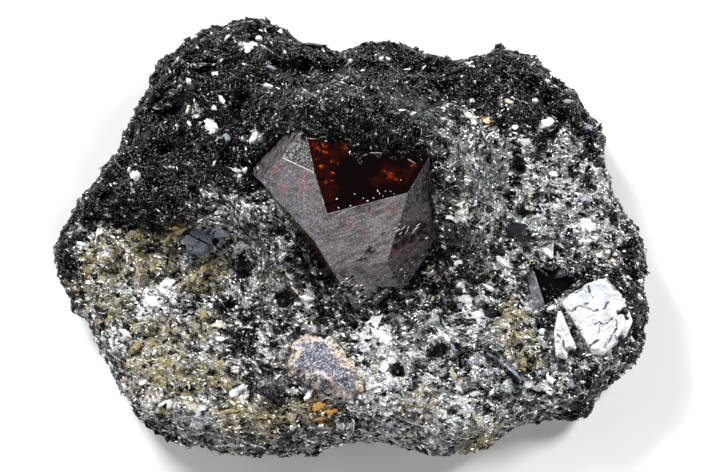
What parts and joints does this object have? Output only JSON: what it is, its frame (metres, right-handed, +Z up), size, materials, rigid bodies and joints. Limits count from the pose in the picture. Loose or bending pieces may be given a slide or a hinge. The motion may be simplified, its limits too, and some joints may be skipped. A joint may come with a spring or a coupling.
{
  "type": "mineral specimen, zircon in schist",
  "caption": "Loose slab of dark mica schist with a large dark red zircon crystal set in its face, lying on its flat underside.",
  "frame": {"origin": "middle of the slab's flat underside, at the surface that it rests on", "axes": "+X to the right along the slab's length, +Y away from the viewer, +Z up through the slab and out of its crystal face"},
  "size_m": [0.0714, 0.0544, 0.0229],
  "materials": {
    "schist": "dark mica schist, broken along its foliation, sparkling",
    "zircon": "dark red clear zircon, glossy on top, frosted on its other faces",
    "black_mica": "black biotite, glossy cleavage",
    "silver_mica": "silver white mica, pearly cleavage with cracks",
    "blue_mica": "blue grey mica, glossy cleavage",
    "feldspar": "grey lilac feldspar, speckled with mica"
  },
  "bodies": {
    "root": {"schist_matrix": "schist", "zircon_crystal": "zircon", "biotite_crystal": "black_mica", "small_biotite_crystal": "black_mica", "mica_book": "silver_mica", "mica_wedge": "silver_mica", "mica_flake": "silver_mica", "mica_plate": "blue_mica", "feldspar_grain": "feldspar"}
  },
  "joints": []
}
